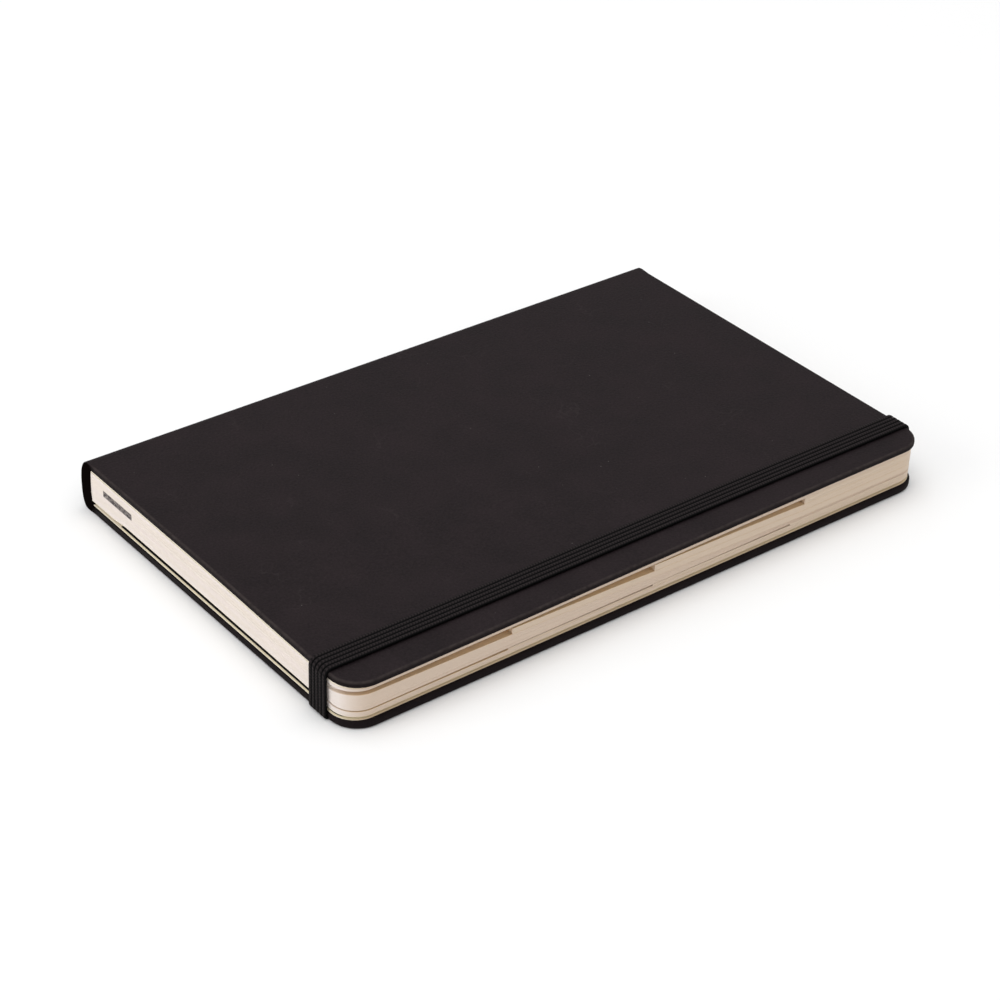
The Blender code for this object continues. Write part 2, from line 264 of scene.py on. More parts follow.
def leaf_columns(spine_x, edge):
    """Places across a leaf: the same near the spine for every leaf, then spread to its edge."""
    near = np.arange(0.0, BEND_REACH + 1e-9, BEND_PITCH)
    far = BEND_REACH + (edge - spine_x - BEND_REACH) * np.sin(np.linspace(0.0, math.pi / 2, 27)[1:])
    return spine_x + np.r_[near, far]


def edge_ring(rows, width, closed):
    """Point numbers round a grid from its tail end, and the way out of it at each of them.

    A closed ring comes back along the spine side, and an open one leaves that side out.
    """
    count = len(rows)
    ring = [(0, column) for column in range(width)]
    ring += [(row, width - 1) for row in range(1, count)]
    ring += [(count - 1, column) for column in range(width - 2, -1, -1)]
    if closed:
        ring += [(row, 0) for row in range(count - 2, 0, -1)]
    outward = []
    for row, column in ring:
        turn = rows[row][2]
        if column == width - 1:
            outward.append((math.sin(turn), -math.cos(turn), 0.0))
        elif row in (0, count - 1):
            outward.append((0.0, -1.0 if row == 0 else 1.0, 0.0))
        else:
            outward.append((-1.0, 0.0, 0.0))
    return np.array([row * width + column for row, column in ring]), np.array(outward)


def fractions(count, crowding):
    """Fractions from 0 to 1, closer together towards both ends."""
    plain = np.linspace(0.0, 1.0, count)
    eased = 0.5 - 0.5 * np.cos(math.pi * plain)
    return (1.0 - crowding) * plain + crowding * eased


# ---- layer heights


def index_thickness(y, steps, walls, which, thin):
    """Height of an index group at the fore-edge: full above its step, thinning out to the next."""
    step = steps[which]
    following = steps[which + 1] if which + 1 < len(steps) else -HALF_LENGTH - 14.0 * MM
    share = np.clip((step - np.asarray(y, float)) / (step - following), 0.0, 1.0)
    return walls[which] + (thin - walls[which]) * share ** 0.85


def fore_edge_heights(y):
    """Bottom of each layer at the fore-edge, before the cover is drawn down."""
    y = np.asarray(y, float)
    one = np.ones_like(y)
    heights = {
        "front_pastedown": 9.36 * MM * one,
        "front_flyleaf": 9.22 * MM * one,
        "upper_leaves": 8.52 * MM * one,
    }
    level = heights["upper_leaves"] - LEAF_GAP
    for which in range(len(UPPER_STEPS)):
        level = level - index_thickness(y, UPPER_STEPS, UPPER_WALLS, which, 0.16 * MM)
        heights[f"index_leaves_{which + 1}"] = level
    level = 3.95 * MM * one
    heights["middle_leaves"] = level
    for which in range(len(LOWER_STEPS)):
        level = level - index_thickness(y, LOWER_STEPS, LOWER_WALLS, which, 0.05 * MM)
        heights[f"index_leaves_{which + 4}"] = level
    heights["lower_leaves"] = 2.57 * MM * one
    heights["rear_flyleaf"] = 2.46 * MM * one
    heights["pocket_panel"] = 2.03 * MM * one
    heights["pocket_backing"] = 1.80 * MM * one
    heights["rear_pastedown"] = 1.71 * MM * one
    return heights


def layer_bottoms(x, y):
    """Bottom of every layer over points x, y, with the top of the stack last."""
    x, y = np.broadcast_arrays(np.asarray(x, float), np.asarray(y, float))
    fore = fore_edge_heights(y)
    near_end = ease(np.abs(y), 57.0 * MM, 67.0 * MM)
    start = 16.0 * MM + 15.0 * MM * near_end
    share = ease((x - start) / (43.5 * MM - start), 0.0, 1.0)
    past_mouth = 1.0 - ease(x, POCKET_LOW.x - 2.2 * MM, POCKET_LOW.x - 0.1 * MM)
    sag = MOUTH_SAG * past_mouth
    bottoms = {}
    below = np.full_like(x, REAR_INNER_Z)
    for name in LAYERS:
        flat = FLAT_BOTTOMS[name]
        if LAYERS.index(name) >= LAYERS.index("rear_flyleaf"):
            depth = FLAT_BOTTOMS["front_pastedown"] - flat
            flat = flat - sag * depth / (FLAT_BOTTOMS["front_pastedown"] - FLAT_BOTTOMS["rear_flyleaf"])
        height = np.maximum(flat + (fore[name] - flat) * share, below)
        bottoms[name] = height
        if name != "pocket_panel":
            below = height + LEAF_GAP + 0.04 * MM
    stack_top = np.full_like(x, COVER_INNER_Z - 0.01 * MM)
    squeeze = cover_drop(x, y) / (COVER_INNER_Z - REAR_INNER_Z)
    for name in LAYERS:
        bottoms[name] = bottoms[name] - np.clip(bottoms[name] - REAR_INNER_Z, 0.0, None) * squeeze
    bottoms["stack_top"] = stack_top - (stack_top - REAR_INNER_Z) * squeeze
    return bottoms


def layer_span(name, x, y):
    """Bottom and top of one layer over points x, y."""
    bottoms = layer_bottoms(x, y)
    low = bottoms[name]
    names = list(LAYERS) + ["stack_top"]
    above = bottoms[names[names.index(name) + 1]] - LEAF_GAP
    if name in SHEETS:
        above = np.minimum(above, low + SHEETS[name])
    return low, np.maximum(above, low + LEAF_LEAST)


# ---- leaves and boards


def leaf_rows(outline, step):
    """Rows across a leaf, cut back on the tail side of its index step where it has one."""
    half_length, fore_x, radius = outline
    extra = UPPER_STEPS + LOWER_STEPS
    rows = corner_rows(half_length, fore_x, radius, LEAF_ROWS, extra)
    if step is None:
        return rows
    cut = corner_rows(half_length, fore_x - INDEX_CUT_BACK, radius, LEAF_ROWS, extra)
    tail = [row for row in cut if row[0] < step - 1e-6]
    tail.append((step - STEP_WALL, fore_x - INDEX_CUT_BACK, math.pi / 2))
    return tail + [row for row in rows if row[0] > step - 1e-6]


def layer_piece(name, span, outline, material, rng, step=None, spine_x=None, modify=None):
    """A flat layer between the heights of span(x, y), with its leaves' edges down its sides."""
    spine_x = LEAF_LOW.x if spine_x is None else spine_x
    rows = leaf_rows(outline, step)
    x = np.array([leaf_columns(spine_x, edge) for _, edge, _ in rows])
    columns = x.shape[1]
    y = np.array([[row[0]] * columns for row in rows])
    low, high = span(x, y)
    count = len(rows)
    index, outward = edge_ring(rows, columns, True)
    flat_x, flat_y = x.ravel(), y.ravel()
    low, high = low.ravel(), high.ravel()
    points = [np.stack([flat_x, flat_y, low], 1), np.stack([flat_x, flat_y, high], 1)]
    total = count * columns
    thickness = float(np.max(high[index] - low[index]))
    levels = max(1, int(round(thickness / LEAF_PITCH)))
    leaf = [np.zeros(total), np.full(total, float(levels))]
    faces = grid_faces(count, columns, 0, True) + grid_faces(count, columns, total)
    previous = index.tolist()
    start = 2 * total
    along = np.cumsum(np.r_[0.0, np.hypot(np.diff(flat_x[index]), np.diff(flat_y[index]))])
    for level in range(1, levels):
        share = level / levels
        wave = np.sin(along / (23.0 * MM) * rng.uniform(0.6, 1.6) + rng.uniform(0, 6.3))
        inset = LEAF_INSET * np.clip(rng.uniform(0.0, 1.0) + 0.35 * wave, 0.0, 1.2)
        ring_points = np.stack([
            flat_x[index] - outward[:, 0] * inset,
            flat_y[index] - outward[:, 1] * inset,
            low[index] + (high[index] - low[index]) * share,
        ], 1)
        points.append(ring_points)
        leaf.append(np.full(len(index), float(level)))
        current = list(range(start, start + len(index)))
        faces += strip_faces(previous, current, closed=True)
        previous = current
        start += len(index)
    faces += strip_faces(previous, (index + total).tolist(), closed=True)
    # upper marks a layer's top face and recess the cut-back side behind its index step, where the paper
    # paints shade.
    marks = {"leaf": np.concatenate(leaf), "upper": np.zeros(start), "recess": np.zeros(start)}
    if levels > 3:
        marks["upper"][total:2 * total] = 1.0
    if step is not None:
        places = np.concatenate(points)
        marks["recess"] = (places[:, 1] < step - 0.002 * MM).astype(float)
    piece = make_object(name, np.concatenate(points), faces, marks)
    if modify is not None:
        modify(piece)
    return finish_mesh(piece, material)


# ---- covering


def spine_contour(front, count=16):
    """Outer and inner line of the covering in the XZ plane, from mid-spine to the flat of the cover."""
    shoulder = FRONT_SHOULDER if front else REAR_SHOULDER
    inner_start = FRONT_INNER_START if front else REAR_INNER_START
    roundness = FRONT_ROUNDNESS if front else REAR_ROUNDNESS
    thickness = TOP_Z - COVER_INNER_Z if front else REAR_INNER_Z
    side = 1.0 if front else -1.0
    outer, inner = [], []
    for index in range(count + 1):
        angle = math.pi / 2 * index / count
        across = 1.0 - math.cos(angle) ** (2.0 / roundness) if index < count else 1.0
        up = math.sin(angle) ** (2.0 / roundness)
        outer.append((SPINE_LOW.x + shoulder * across, MIDDLE_Z + side * MIDDLE_Z * up))
        inner_x = SPINE_LOW.x + SPINE_DEPTH + (inner_start - SPINE_DEPTH) * across
        inner.append((inner_x, MIDDLE_Z + side * (MIDDLE_Z - thickness) * up))
    return outer, inner


def rim_profile(board, at_spine):
    """The covering's way round a rim, from the cover's face to the end of its turn-in.

    Each step holds the distance out, the share of the board's depth, the rubbing with its painted
    highlight and the painted shade of the side.
    """
    rim = RIM_RADIUS * (1.0 - 0.75 * at_spine)
    one, none = np.ones(len(board)), np.zeros(len(board))
    profile = []
    steps = 5
    for step in range(1, steps + 1):
        angle = math.pi / 2 * step / steps
        along = RIM_RADIUS - rim * (1.0 - math.sin(angle))
        # Painted highlight as well as rubbing: lightest at the middle of the rim's turn and none at the
        # spine.
        wear_and_highlight = math.sin(2.0 * angle) * (1.0 - at_spine)
        profile.append((along, rim * (1.0 - math.cos(angle)) / board, wear_and_highlight, 1.0 - math.cos(angle)))
    profile.append((RIM_RADIUS * one, 1.0 - RIM_FOLD / board, none, 1.0))
    profile.append(((RIM_RADIUS - RIM_FOLD) * one, one, none, 1.0))
    for share in (0.15, 0.4, 0.7, 1.0):
        profile.append(((RIM_RADIUS - TURN_IN * share) * one, one, none, 1.0))
    return profile


def covering_piece(name, front, material, modify=None):
    """One cover's covering: half the spine, round the shoulder, over the board and turned in."""
    outer, inner = spine_contour(front)
    flat_start, inner_start = outer[-1][0], inner[-1][0]
    flat_z = TOP_Z if front else 0.0
    inner_z = COVER_INNER_Z if front else REAR_INNER_Z
    outline = (HALF_LENGTH - RIM_RADIUS, FORE_X - RIM_RADIUS, CORNER_RADIUS - RIM_RADIUS)
    rows = corner_rows(*outline, COVER_ROWS)
    near = np.linspace(0.0, HINGE_LENGTH + 1.0 * MM, 11)[1:]
    shoulder = FRONT_SHOULDER if front else REAR_SHOULDER
    grid, core = [], []
    for y, edge, _ in rows:
        far = near[-1] + (edge - flat_start - near[-1]) * fractions(36, 0.5)[1:]
        columns = np.r_[near, far] / (edge - flat_start)
        for (ox, oz), (ix, iz) in zip(outer, inner):
            grid.append((ox, y, oz))
            core.append((ix, y, iz))
        for t in columns:
            x = flat_start + (edge - flat_start) * t
            grid.append((x, y, flat_z))
            core.append((inner_start + (edge - inner_start) * t, y, inner_z))
    grid, core = np.array(grid), np.array(core)
    width = len(outer) + len(columns)
    count = len(rows)
    index, outward = edge_ring(rows, width, False)
    base, depth = grid[index], core[index] - grid[index]
    board = np.linalg.norm(depth, axis=1)
    at_spine = 1.0 - ease(base[:, 0], SPINE_LOW.x + shoulder, SPINE_LOW.x + shoulder + 2.5 * MM)
    profile = rim_profile(board, at_spine)
    points, worn_and_highlit, dark = [grid], [np.zeros(len(grid))], [np.zeros(len(grid))]
    faces = grid_faces(count, width, 0, not front)
    previous = index.tolist()
    start = len(grid)
    for along, share, wear_and_highlight, side in profile:
        points.append(base + outward * along[:, None] + depth * share[:, None])
        worn_and_highlit.append(wear_and_highlight)
        # Painted shade of the rim's side, strongest at the spine end.
        dark.append(side * (0.5 + 0.45 * at_spine))
        current = list(range(start, start + len(index)))
        faces += strip_faces(previous, current, flip=front)
        previous = current
        start += len(index)
    points = np.concatenate(points)
    if front:
        points[:, 2] -= cover_drop(points[:, 0], points[:, 1])
    piece = make_object(name, points, faces, {"wear_and_highlight": np.concatenate(worn_and_highlit), "side": np.concatenate(dark)})
    solid = piece.modifiers.new("thickness", "SOLIDIFY")
    solid.thickness = SKIN
    solid.offset = -1.0
    solid.use_rim = True
    if modify is not None:
        modify(piece)
    return finish_mesh(piece, material, 50.0)


def board_span(front, x, y):
    """Bottom and top of a cover's board, just inside its covering."""
    shell = SKIN + SKIN_FIT
    if front:
        drop = cover_drop(x, y)
        return COVER_INNER_Z + shell - drop, TOP_Z - shell - drop
    flat = np.zeros_like(x)
    return flat + shell, flat + REAR_INNER_Z - shell


# ---- closure band


def band_centre(y):
    """Middle of the band across the cover at y: it lies slightly out of square."""
    tail = (LEG_TAIL_LOW.x + LEG_TAIL_HIGH.x) / 2
    head = (LEG_HEAD_LOW.x + LEG_HEAD_HIGH.x) / 2
    share = np.clip(np.asarray(y, float) / (2 * HALF_LENGTH), -0.5, 0.5)
    return (tail + head) / 2 + BAND_SKEW * (head - tail) * share


def arc_path(centre, radius, start, end, steps=8):
    """(y, z, outward y, outward z) along an arc between two angles in degrees."""
    path = []
    for index in range(steps + 1):
        angle = math.radians(start + (end - start) * index / steps)
        out_y, out_z = math.cos(angle), math.sin(angle)
        path.append((centre[0] + radius * out_y, centre[1] + radius * out_z, out_y, out_z))
    return path


def cover_top(end):
    """Height of the front cover's face under the band at one end."""
    y = end * HALF_LENGTH
    return TOP_Z - float(cover_drop(band_centre(y), y))


def band_run_path():
    """The band from the top of its tail leg, over the front cover, to the top of its head leg."""
    side_y = HALF_LENGTH + BAND_REST + BAND_HALF
    ends = {}
    for end in (-1.0, 1.0):
        centre = (end * (side_y - BAND_BEND), cover_top(end) + BAND_REST + BAND_HALF - BAND_BEND)
        first, last = (180.0, 90.0) if end < 0 else (90.0, 0.0)
        ends[end] = arc_path(centre, BAND_BEND, first, last)
    inner_y = side_y - BAND_BEND
    middle = []
    for y in np.linspace(-inner_y, inner_y, 64)[1:-1]:
        height = TOP_Z - float(cover_drop(band_centre(y), y)) + BAND_REST + BAND_HALF
        middle.append((y, height, 0.0, 1.0))
    return ends[-1.0] + middle + ends[1.0]


def band_leg_path(end):
    """The band down one end of the book, from its bend over the cover to its turn under it."""
    side_y = end * (HALF_LENGTH + BAND_REST + BAND_HALF)
    top = cover_top(end) + BAND_REST + BAND_HALF - BAND_BEND
    bottom = ANCHOR_LOW.z + BAND_HALF + BAND_TURN
    return [(side_y, z, end, 0.0) for z in np.linspace(top, bottom, 14)]


def band_anchor_path(end):
    """The band's end under the rear cover, turned up into its slot."""
    side_y = HALF_LENGTH + BAND_REST + BAND_HALF
    low = ANCHOR_LOW.z + BAND_HALF
    slot_y = ANCHOR_LOW.y + BAND_HALF + 0.02 * MM
    outer = arc_path((side_y - BAND_TURN, low + BAND_TURN), BAND_TURN, 0.0, -90.0)
    inner = arc_path((slot_y + BAND_TURN, low + BAND_TURN), BAND_TURN, -90.0, -180.0)
    tip = ANCHOR_HIGH.z
    upright = [(slot_y, z, -1.0, 0.0) for z in np.linspace(low + BAND_TURN, tip, 4)[1:]]
    path = outer + inner + upright
    return [(end * y, z, end * out_y, out_z) for y, z, out_y, out_z in path]


def ribbon_piece(name, path, material):
    """The ribbed band swept along a path, with its ribs and the length along it kept on its points."""
    across = np.linspace(-1.0, 1.0, BAND_RIBS * RIB_POINTS + 1)
    place = (across + 1.0) / 2.0 * BAND_RIBS
    from_middle = 2.0 * (place - np.floor(place)) - 1.0
    half = BAND_GROOVE + (BAND_HALF - BAND_GROOVE) * np.sqrt(np.clip(1.0 - from_middle ** 2, 0.0, 1.0))
    section_x = np.r_[across, across[::-1]] * (LEG_TAIL_HIGH.x - LEG_TAIL_LOW.x) / 2
    section_out = np.r_[half, -half[::-1]]
    groove = np.r_[np.abs(from_middle), np.abs(from_middle[::-1])]
    size = len(section_x)
    points, length, gap = [], [], []
    travelled = 0.0
    for step, (y, z, out_y, out_z) in enumerate(path):
        if step:
            travelled += math.hypot(y - path[step - 1][0], z - path[step - 1][1])
        centre = float(band_centre(y))
        for offset, out in zip(section_x, section_out):
            points.append((centre + offset, y + out_y * out, z + out_z * out))
        length.append(np.full(size, travelled / MM))
        gap.append(groove)
    faces = []
    for row in range(len(path) - 1):
        first = list(range(row * size, (row + 1) * size))
        second = list(range((row + 1) * size, (row + 2) * size))
        faces += strip_faces(first, second, closed=True)
    last = (len(path) - 1) * size
    half_size = size // 2
    for column in range(half_size - 1):
        mirror = size - 1 - column
        faces.append((column, mirror, mirror - 1, column + 1))
        faces.append((last + column, last + column + 1, last + mirror - 1, last + mirror))
    marks = {"length": np.concatenate(length), "groove": np.concatenate(gap)}
    piece = make_object(name, points, faces, marks)
    return finish_mesh(piece, material, 60.0)


def channel_cutters(material):
    """Blocks the shape of the band's channels and slots in the rear cover."""
    cutters = []
    for end in (-1.0, 1.0):
        low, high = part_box("band_anchor_tail" if end < 0 else "band_anchor_head")
        slot_y = min(abs(low.y), abs(high.y))
        depth = ANCHOR_LOW.z + 2 * BAND_HALF + CHANNEL_CLEARANCE
        section = [
            (HALF_LENGTH + CUTTER_MARGIN, -CUTTER_MARGIN),
            (HALF_LENGTH + CUTTER_MARGIN, depth),
            (slot_y + 2 * BAND_HALF + CHANNEL_CLEARANCE, depth),
            (slot_y + 2 * BAND_HALF + CHANNEL_CLEARANCE, REAR_INNER_Z + CUTTER_MARGIN),
            (slot_y - CHANNEL_CLEARANCE, REAR_INNER_Z + CUTTER_MARGIN),
            (slot_y - CHANNEL_CLEARANCE, -CUTTER_MARGIN),
        ]
        centre = float(band_centre(end * HALF_LENGTH))
        reach = (high.x - low.x) / 2 + CHANNEL_CLEARANCE
        sides = (centre - reach, centre + reach)
        points = [(x, end * y, z) for x in sides for y, z in section]
        size = len(section)
        faces = strip_faces(list(range(size)), list(range(size, 2 * size)), closed=True, flip=end < 0)
        caps = [tuple(range(size))[::-1], tuple(range(size, 2 * size))]
        faces += [cap[::-1] if end < 0 else cap for cap in caps]
        cutter = make_object(f"channel_cutter_{'tail' if end < 0 else 'head'}", points, faces)
        cutter.data.materials.append(material)
        cutters.append(cutter)
    return cutters


def cut_by(cutters):
    """A step that cuts a piece by blocks and gives the cut faces the blocks' material."""
    def apply(piece):
        for cutter in cutters:
            cut = piece.modifiers.new(cutter.name, "BOOLEAN")
            cut.operation = "DIFFERENCE"
            cut.solver = "EXACT"
            cut.material_mode = "TRANSFER"
            cut.object = cutter
    return apply


# ---- pocket


def gusset_piece(name, end, material):
    """A strip of cloth folded in two at one end of the pocket, glued below and above."""
    stations = np.r_[np.linspace(POCKET_LOW.x, 36.0 * MM, 34), np.linspace(36.5 * MM, 41.5 * MM, 11)]
    corner_x = POCKET_HIGH.x - POCKET_CORNER
    outer_y = LEAF_HIGH.y - 0.08 * MM
    fold_y = outer_y - GUSSET_DEPTH
    points, size = [], 0
    for x in stations:
        past = max(0.0, x - corner_x) / POCKET_CORNER
        edge = outer_y - POCKET_CORNER * (1.0 - math.sqrt(max(0.0, 1.0 - past * past)))
        reach = edge - fold_y
        near = layer_bottoms(x, end * edge)
        base = float(near["pocket_backing"]) + SHEETS["pocket_backing"]
        roof = float(near["pocket_panel"])
        base = min(base, roof - 0.04 * MM)
        room = roof - base
        middle = base + room / 2
        spread = max(room / 2 - CLOTH / 2, 0.012 * MM)
        lip = roof + 0.2 * MM * min(1.0, room / (0.25 * MM))
        profile = [(edge, middle - spread)]
        profile += [(edge - reach * t, middle - spread) for t in (0.15, 0.35, 0.6, 0.85)]
        profile.append((fold_y, middle - 0.7 * spread))
        profile.append((fold_y - 0.05 * MM, middle))
        profile.append((fold_y, middle + 0.7 * spread))
        profile += [(edge - reach * t, middle + spread) for t in (0.85, 0.6, 0.35, 0.15)]
        profile += [(edge - 0.25 * MM, middle + spread), (edge - 0.1 * MM, roof), (edge - 0.08 * MM, lip)]
        size = len(profile)
        points += [(x, end * y, z) for y, z in profile]
    faces = grid_faces(len(stations), size, 0, end > 0)
    piece = make_object(name, points, faces)
    solid = piece.modifiers.new("thickness", "SOLIDIFY")
    solid.thickness = CLOTH
    solid.offset = 0.0
    return finish_mesh(piece, material, 50.0)


# ---- materials


class Paint:
    """One procedural material, put together node by node, in millimetres."""

    def __init__(self, name, roughness, specular, rest=True):
        self.material = bpy.data.materials.new(name)
        self.material.use_nodes = True
        self.tree = self.material.node_tree
        self.shader = self.tree.nodes["Principled BSDF"]
        self.shader.inputs["Roughness"].default_value = roughness
        self.shader.inputs["Specular IOR Level"].default_value = specular
        if rest:
            source = self.add("ShaderNodeAttribute", attribute_name="rest").outputs["Vector"]
        else:
            source = self.add("ShaderNodeTexCoord").outputs["Object"]
        self.place = self.vector("SCALE", source, scale=1.0 / MM)
        self.axes = self.add("ShaderNodeSeparateXYZ", {"Vector": self.place}).outputs

    def add(self, kind, inputs=None, **settings):
        """A node with its settings and its inputs, each a value or another node's output."""
        node = self.tree.nodes.new(kind)
        for name, value in settings.items():
            setattr(node, name, value)
        for name, value in (inputs or {}).items():
            if isinstance(value, bpy.types.NodeSocket):
                self.tree.links.new(value, node.inputs[name])
            else:
                node.inputs[name].default_value = value
        return node

    def mark(self, name):
        """A number kept on the mesh's points."""
        return self.add("ShaderNodeAttribute", attribute_name=name).outputs["Fac"]

    def vector(self, operation, first, second=None, scale=None):
        """A vector sum, product or scaling."""
        inputs = {0: first}
        if second is not None:
            inputs[1] = second
        if scale is not None:
            inputs["Scale"] = scale
        return self.add("ShaderNodeVectorMath", inputs, operation=operation).outputs["Vector"]

    def sum(self, operation, first, second=0.0):
        """A calculation on one or two numbers."""
        return self.add("ShaderNodeMath", {0: first, 1: second}, operation=operation).outputs["Value"]

    def noise(self, scale, detail=2.0, place=None, roughness=0.5):
        """Soft noise from 0 to 1, with a number of blotches for each millimetre."""
        inputs = {
            "Vector": self.place if place is None else place,
            "Scale": scale,
            "Detail": detail,
            "Roughness": roughness,
        }
        return self.add("ShaderNodeTexNoise", inputs).outputs["Fac"]

    def cells(self, scale, feature="F1", place=None, output="Distance"):
        """Distance to the nearest point, or to the nearest edge, of scattered cells."""
        inputs = {"Vector": self.place if place is None else place, "Scale": scale}
        return self.add("ShaderNodeTexVoronoi", inputs, feature=feature).outputs[output]

    def stretch(self, x, y, z):
        """The place on the piece, with each axis scaled."""
        return self.vector("MULTIPLY", self.place, (x, y, z))

    def shift(self, value, low, high, to_low=0.0, to_high=1.0):
        """A number moved from one range to another and held inside it."""
        inputs = {
            "Value": value,
            "From Min": low,
            "From Max": high,
            "To Min": to_low,
            "To Max": to_high,
        }
        return self.add("ShaderNodeMapRange", inputs).outputs["Result"]

    def wave(self, value, period, phase=0.0):
        """A sine from 0 to 1 with a period in millimetres."""
        turns = self.sum("MULTIPLY", value, 2.0 * math.pi / period)
        turned = self.sum("SINE", self.sum("ADD", turns, phase))
        return self.sum("ADD", self.sum("MULTIPLY", turned, 0.5), 0.5)

    def blend(self, share, first, second):
        """A colour between two colours."""
        node = self.add("ShaderNodeMix", data_type="RGBA")
        for number, value in ((0, share), (6, first), (7, second)):
            if isinstance(value, bpy.types.NodeSocket):
                self.tree.links.new(value, node.inputs[number])
            elif number:
                node.inputs[number].default_value = (*value, 1.0)
            else:
                node.inputs[number].default_value = value
        return node.outputs[2]

    def colour(self, socket):
        """Gives the shader its colour."""
        self.tree.links.new(socket, self.shader.inputs["Base Color"])

    def sheen(self, socket):
        """Gives the shader the strength of its highlights."""
        self.tree.links.new(socket, self.shader.inputs["Specular IOR Level"])

    def roughness(self, socket):
        """Gives the shader its roughness."""
        self.tree.links.new(socket, self.shader.inputs["Roughness"])

    def relief(self, *layers):
        """Bumps laid on each other: (height, depth in metres, strength)."""
        normal = None
        for height, depth, strength in layers:
            inputs = {"Height": height, "Distance": depth, "Strength": strength}
            if normal is not None:
                inputs["Normal"] = normal
            normal = self.add("ShaderNodeBump", inputs).outputs["Normal"]
        self.tree.links.new(normal, self.shader.inputs["Normal"])


def leatherette():
    """Black covering: fine pebbled grain, faint creases, rare pale specks, rubbed rims with a painted
    highlight and painted shade on the rims' sides.
    """
    paint = Paint("leatherette_black", 0.6, 0.06)
    broad = paint.noise(0.11, 3.0)
    fine = paint.noise(2.4, 3.0, roughness=0.7)
    pebbles = paint.cells(1.7, "SMOOTH_F1")
    swirl = {"Vector": paint.place, "Scale": 0.16, "Detail": 3.0}
    warp = paint.add("ShaderNodeTexNoise", swirl).outputs["Color"]
    bent = paint.vector("ADD", paint.place, paint.vector("SCALE", warp, scale=9.0))
    lines = paint.shift(paint.cells(0.075, "DISTANCE_TO_EDGE", bent), 0.0, 0.014, 1.0, 0.0)
    creases = paint.sum("MULTIPLY", lines, paint.shift(paint.noise(0.09, 1.0), 0.52, 0.7))
    specks = paint.shift(paint.cells(0.42), 0.035, 0.05, 1.0, 0.0)
    shade = paint.sum("ADD", paint.sum("MULTIPLY", broad, 0.4), paint.sum("MULTIPLY", fine, 0.6))
    tone = paint.blend(paint.shift(shade, 0.3, 0.7), (0.0090, 0.0062, 0.0070), (0.0240, 0.0172, 0.0190))
    tone = paint.blend(paint.sum("MULTIPLY", creases, 0.22), tone, (0.045, 0.036, 0.037))
    # Rubbed rims: lighter along the middle of each rim's turn, partly rubbing and partly a painted
    # highlight.
    wear_and_highlight = paint.mark("wear_and_highlight")
    worn_and_highlit = paint.sum("MULTIPLY", wear_and_highlight, paint.shift(paint.noise(0.8, 3.0), 0.25, 0.75, 0.25, 1.0))
    tone = paint.blend(paint.sum("MULTIPLY", worn_and_highlit, 0.75), tone, (0.062, 0.050, 0.047))
    # Painted shade: the rims' sides go near black and lose their sheen, most at the spine end.
    side = paint.mark("side")
    tone = paint.blend(side, tone, (0.0035, 0.0022, 0.0020))
    paint.sheen(paint.shift(side, 0.3, 0.95, 0.06, 0.0))
    rare = paint.sum("MULTIPLY", specks, paint.shift(paint.noise(0.23, 0.0), 0.62, 0.66))
    paint.colour(paint.blend(rare, tone, (0.10, 0.092, 0.088)))
    paint.roughness(paint.shift(broad, 0.3, 0.7, 0.5, 0.64))
    paint.relief((creases, 0.01 * MM, 0.35), (pebbles, 0.06 * MM, 0.7), (fine, 0.03 * MM, 0.6))
    return paint.material


def tinted(colour, tint):
    """A colour multiplied by a tint."""
    return tuple(value * factor for value, factor in zip(colour, tint))


def paper(name, light, dark, streaks, printed=False):
    """Ivory paper: a soft fibre on its faces and the edges of single leaves down its sides, with painted
    shade browning the fore-edge and its index recesses.
    """
    paint = Paint(name, 0.85, 0.12)
    leaf = paint.sum("MULTIPLY", paint.mark("leaf"), 7.3)
    x, y, _ = paint.axes
    spread = paint.add("ShaderNodeCombineXYZ", {
        "X": paint.sum("MULTIPLY", x, 0.05),
        "Y": paint.sum("MULTIPLY", y, 0.05),
        "Z": leaf,
    }).outputs["Vector"]
    edges = paint.noise(1.0, 1.0, spread)
    fibre = paint.noise(3.5, 3.0, paint.stretch(1.0, 0.35, 1.0))
    cloud = paint.noise(0.06, 2.0)
    share = paint.sum("ADD", paint.sum("MULTIPLY", edges, streaks), paint.sum("MULTIPLY", fibre, 0.25))
    share = paint.sum("ADD", share, paint.sum("MULTIPLY", cloud, 0.25))
    tone = paint.blend(paint.shift(share, 0.3, 0.75), light, dark)
    # Painted shade: the paper browns towards the fore-edge and its index recesses.
    fore_edge_shade = paint.shift(x, 41.0, 44.3, 0.0, 0.8)
    tone = paint.blend(fore_edge_shade, tone, tinted(light, (0.81, 0.70, 0.57)))
    # Painted shade of the index recesses: layer tops near the fore-edge and the cut-back walls behind
    # each step are tinted golden brown.
    ledge = paint.sum("MULTIPLY", paint.mark("upper"), paint.shift(x, 37.0, 43.6, 0.0, 0.62))
    recess = paint.sum("MULTIPLY", paint.mark("recess"), paint.shift(x, 40.8, 41.8))
    recess_shade = paint.sum("MAXIMUM", ledge, recess)
    shaded = paint.sum("MULTIPLY", recess_shade, paint.shift(cloud, 0.25, 0.7, 0.8, 1.0))
    tone = paint.blend(shaded, tone, tinted(light, (0.82, 0.60, 0.28)))
    if printed:
        tone = paint.blend(tail_mark(paint), tone, (0.055, 0.045, 0.05))
    paint.colour(tone)
    paint.relief((fibre, 0.01 * MM, 0.25), (edges, 0.025 * MM, 0.2))
    return paint.material


def tail_mark(paint):
    """1 inside a plain printed bar on the tail edge near the spine."""
    x, y, z = paint.axes
    inside = paint.shift(y, -69.35, -69.45)
    for value, low, high in ((x, -37.0, -26.5), (z, 5.85, 7.35)):
        inside = paint.sum("MULTIPLY", inside, paint.shift(value, low, low + 0.12))
        inside = paint.sum("MULTIPLY", inside, paint.shift(value, high - 0.12, high, 1.0, 0.0))
    ink = paint.shift(paint.noise(2.4, 2.0), 0.3, 0.62, 0.62, 0.98)
    return paint.sum("MULTIPLY", inside, ink)


